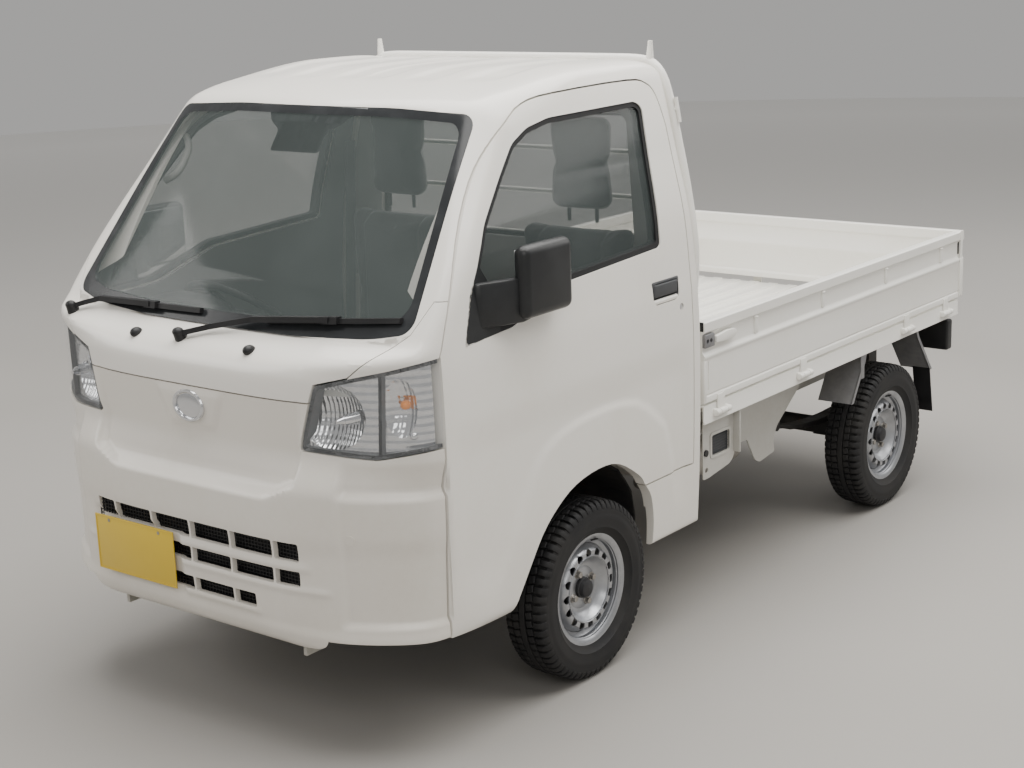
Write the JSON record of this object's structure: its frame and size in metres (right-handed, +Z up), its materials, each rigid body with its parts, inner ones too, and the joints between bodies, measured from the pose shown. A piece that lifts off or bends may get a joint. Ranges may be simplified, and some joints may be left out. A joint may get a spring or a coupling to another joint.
{
  "type": "drop-side light truck",
  "caption": "Small cab-over pickup truck with hinged doors, steered front wheels, a flat bed with folding side and tail gates, and a rope guard frame behind the cab.",
  "frame": {"origin": "centre of the bounding box's base, on the ground under the middle of the truck", "axes": "+X to the truck's left side, +Y to the rear, +Z up"},
  "size_m": [1.583, 3.395, 1.806],
  "materials": {
    "body_paint": "gloss",
    "bumper_plastic": "satin",
    "floor_paint": "satin",
    "lamp_lens": "gloss",
    "tail_lens": "gloss",
    "glass": "gloss",
    "black_plastic": "matte",
    "grey_plastic": "matte",
    "seat_fabric": "matte",
    "plate_metal": "satin",
    "frame_paint": "satin",
    "chassis_black": "satin",
    "cast_metal": "matte",
    "exhaust_metal": "satin",
    "wheel_silver": "satin",
    "rubber": "matte"
  },
  "bodies": {
    "chassis": {"cab_shell": "body_paint", "cab_back": "body_paint", "cab_corners": "body_paint", "cab_floor": "floor_paint", "firewall": "floor_paint", "engine_cover": "floor_paint", "wheel_housings": "floor_paint", "nose_panel": "body_paint", "fenders": "body_paint", "front_bumper": "bumper_plastic", "headlamps": "lamp_lens", "windscreen": "glass", "rear_window": "glass", "dashboard": "grey_plastic", "steering_column": "grey_plastic", "seat_cushions": "seat_fabric", "seat_backs": "seat_fabric", "wipers": "black_plastic", "number_plates": "plate_metal", "frame_rails": "frame_paint", "crossmembers": "frame_paint", "front_suspension": "chassis_black", "rear_axle": "chassis_black", "leaf_springs": "chassis_black", "engine_block": "cast_metal", "fuel_tank": "black_plastic", "silencer": "exhaust_metal", "spare_wheel": "rubber", "bed_floor": "body_paint", "bed_beams": "frame_paint", "bed_sills": "frame_paint", "headboard": "body_paint", "guard_frame": "body_paint", "gate_hinges": "body_paint", "mudguards": "black_plastic", "side_brackets": "frame_paint", "tail_lamps": "tail_lens"},
    "left_door": {"door_left": "body_paint", "door_glass_left": "glass", "mirror_left": "black_plastic"},
    "right_door": {"door_right": "body_paint", "door_glass_right": "glass", "mirror_right": "black_plastic"},
    "steering": {"steering_wheel": "black_plastic"},
    "left_knuckle": {"knuckle_left": "chassis_black"},
    "right_knuckle": {"knuckle_right": "chassis_black"},
    "left_gate": {"side_gate_left": "body_paint"},
    "right_gate": {"side_gate_right": "body_paint"},
    "rear_gate": {"tailgate": "body_paint"},
    "front_left_wheel": {"wheel_front_left": "wheel_silver", "tyre_front_left": "rubber"},
    "front_right_wheel": {"wheel_front_right": "wheel_silver", "tyre_front_right": "rubber"},
    "rear_left_wheel": {"wheel_rear_left": "wheel_silver", "tyre_rear_left": "rubber"},
    "rear_right_wheel": {"wheel_rear_right": "wheel_silver", "tyre_rear_right": "rubber"}
  },
  "joints": [
    {"name": "left_door_swing", "type": "hinge", "parent": "chassis", "child": "left_door", "pos_m": [0.7245, -1.4045, 0.75], "axis": [0, 0, -1], "range_deg": [0, 65]},
    {"name": "right_door_swing", "type": "hinge", "parent": "chassis", "child": "right_door", "pos_m": [-0.7245, -1.4045, 0.75], "axis": [0, 0, 1], "range_deg": [0, 65]},
    {"name": "left_gate_fold", "type": "hinge", "parent": "chassis", "child": "left_gate", "pos_m": [0.7385, 0.7, 0.657], "axis": [0, 1, 0], "range_deg": [0, 180]},
    {"name": "right_gate_fold", "type": "hinge", "parent": "chassis", "child": "right_gate", "pos_m": [-0.7385, 0.7, 0.657], "axis": [0, -1, 0], "range_deg": [0, 180]},
    {"name": "rear_gate_fold", "type": "hinge", "parent": "chassis", "child": "rear_gate", "pos_m": [0, 1.6915, 0.657], "axis": [-1, 0, 0], "range_deg": [0, 180]},
    {"name": "left_steer", "type": "hinge", "parent": "chassis", "child": "left_knuckle", "pos_m": [0.57, -0.8005, 0.2685], "axis": [0, 0, 1], "range_deg": [-35, 35]},
    {"name": "right_steer", "type": "hinge", "parent": "chassis", "child": "right_knuckle", "pos_m": [-0.57, -0.8005, 0.2685], "axis": [0, 0, 1], "range_deg": [-35, 35]},
    {"name": "steering_turn", "type": "hinge", "parent": "chassis", "child": "steering", "pos_m": [-0.33, -1.1375, 1.052], "axis": [0, 0.6428, 0.766], "range_deg": [-525, 525]},
    {"name": "front_left_roll", "type": "hinge", "parent": "left_knuckle", "child": "front_left_wheel", "pos_m": [0.65, -0.8005, 0.2685], "axis": [1, 0, 0], "continuous": true},
    {"name": "front_right_roll", "type": "hinge", "parent": "right_knuckle", "child": "front_right_wheel", "pos_m": [-0.65, -0.8005, 0.2685], "axis": [1, 0, 0], "continuous": true},
    {"name": "rear_left_roll", "type": "hinge", "parent": "chassis", "child": "rear_left_wheel", "pos_m": [0.65, 1.0995, 0.2685], "axis": [1, 0, 0], "continuous": true},
    {"name": "rear_right_roll", "type": "hinge", "parent": "chassis", "child": "rear_right_wheel", "pos_m": [-0.65, 1.0995, 0.2685], "axis": [1, 0, 0], "continuous": true}
  ],
  "couplings": [
    {"joint": "right_steer", "follows": "left_steer", "ratio": 1},
    {"joint": "steering_turn", "follows": "left_steer", "ratio": 15}
  ]
}
